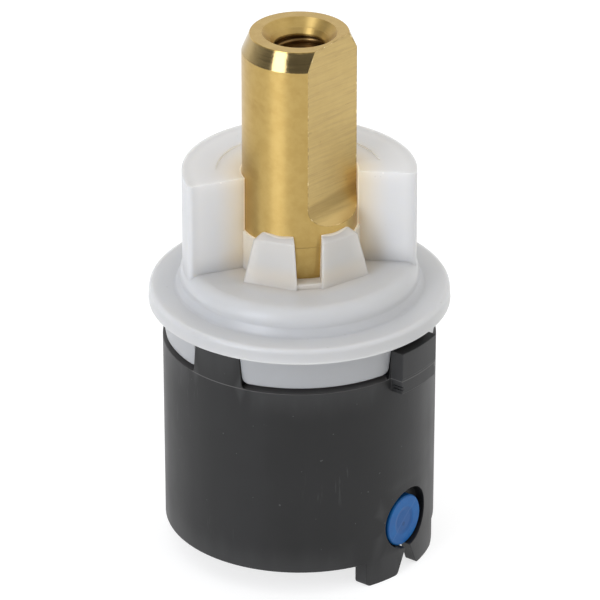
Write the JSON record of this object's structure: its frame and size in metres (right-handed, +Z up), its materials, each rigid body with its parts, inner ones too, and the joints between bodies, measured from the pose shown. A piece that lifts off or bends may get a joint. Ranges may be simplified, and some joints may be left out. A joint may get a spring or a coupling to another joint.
{
  "type": "diverter valve cartridge",
  "caption": "Ceramic-disc diverter cartridge: brass stem with a tapped end and a milled flat, white cap with a guard wall, black keyed housing and a blue side plug.",
  "frame": {"origin": "on the stem's axis, in the plane that the key legs stand on", "axes": "+Z up along the stem, -Y through the middle of the gap in the guard wall"},
  "size_m": [0.0252, 0.0252, 0.0465],
  "materials": {
    "black_plastic": "moulded black polymer, satin",
    "white_acetal": "natural white acetal, slightly translucent",
    "brass": "turned, with a milled flat",
    "black_rubber": "nitrile, greased",
    "alumina": "lapped alumina",
    "grey_plastic": "moulded grey polymer",
    "ptfe": "white PTFE",
    "blue_plastic": "moulded blue polymer"
  },
  "bodies": {
    "valve_body": {"housing": "black_plastic", "bonnet_cap": "white_acetal", "thrust_washer": "ptfe", "fixed_disc": "alumina", "disc_seat_gasket": "black_rubber", "cap_o_ring": "black_rubber", "side_plug": "blue_plastic", "side_plug_o_ring": "black_rubber", "inlet_seal": "black_rubber", "left_outlet_seal": "black_rubber", "right_outlet_seal": "black_rubber"},
    "rotor": {"stem": "brass", "stem_lower_o_ring": "black_rubber", "stem_upper_o_ring": "black_rubber", "disc_driver": "grey_plastic", "moving_disc": "alumina"}
  },
  "joints": [
    {"name": "stem_turn", "type": "hinge", "parent": "valve_body", "child": "rotor", "pos_m": [0, 0, 0.03], "axis": [0, 0, 1], "range_deg": [-60, 60]}
  ]
}
